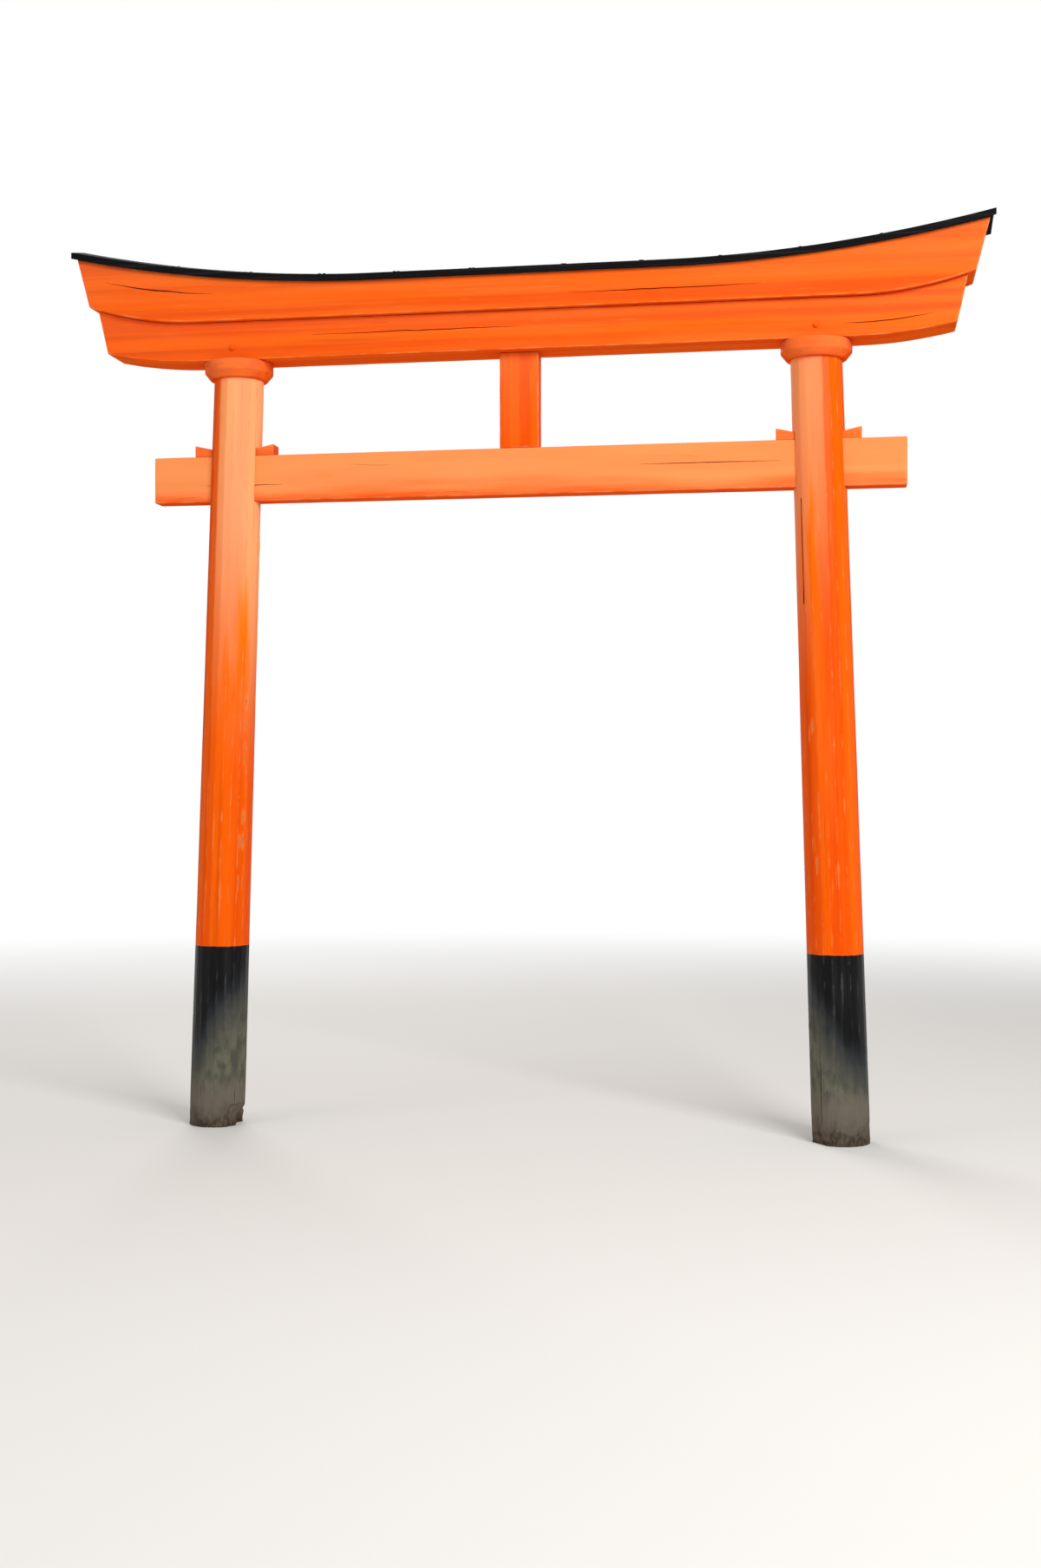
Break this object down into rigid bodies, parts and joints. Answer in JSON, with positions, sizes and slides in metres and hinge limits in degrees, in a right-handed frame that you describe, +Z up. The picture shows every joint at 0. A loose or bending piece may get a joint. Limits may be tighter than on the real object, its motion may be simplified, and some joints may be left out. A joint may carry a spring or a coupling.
{
  "type": "torii gate",
  "caption": "Vermilion timber torii gate: round posts with black feet that lean in, a wedged tie beam, a centre strut and upswept lintels with black coping.",
  "frame": {"origin": "centre of the left post's flat foot, on the ground", "axes": "+Z up, +X across the passage from the left post to the right post, -Y out of the gate's front"},
  "size_m": [2.7542, 0.208, 2.6916],
  "materials": {
    "vermilion": "weathered vermilion paint on timber",
    "black_foot": "weathered black paint on timber, algae and rot near the ground",
    "black_coping": "black paint on boards"
  },
  "bodies": {
    "root": {"post_left": "vermilion", "post_right": "vermilion", "post_root_left": "black_foot", "post_root_right": "black_foot", "capital_ring_left": "vermilion", "capital_ring_right": "vermilion", "tie_beam": "vermilion", "wedge_left_outer": "vermilion", "wedge_left_inner": "vermilion", "wedge_right_inner": "vermilion", "wedge_right_outer": "vermilion", "centre_strut": "vermilion", "lower_lintel": "vermilion", "upper_lintel": "vermilion", "coping_front_left": "black_coping", "coping_front_right": "black_coping", "coping_back_left": "black_coping", "coping_back_right": "black_coping", "tenon_pin_left": "vermilion", "tenon_pin_right": "vermilion"}
  },
  "joints": []
}
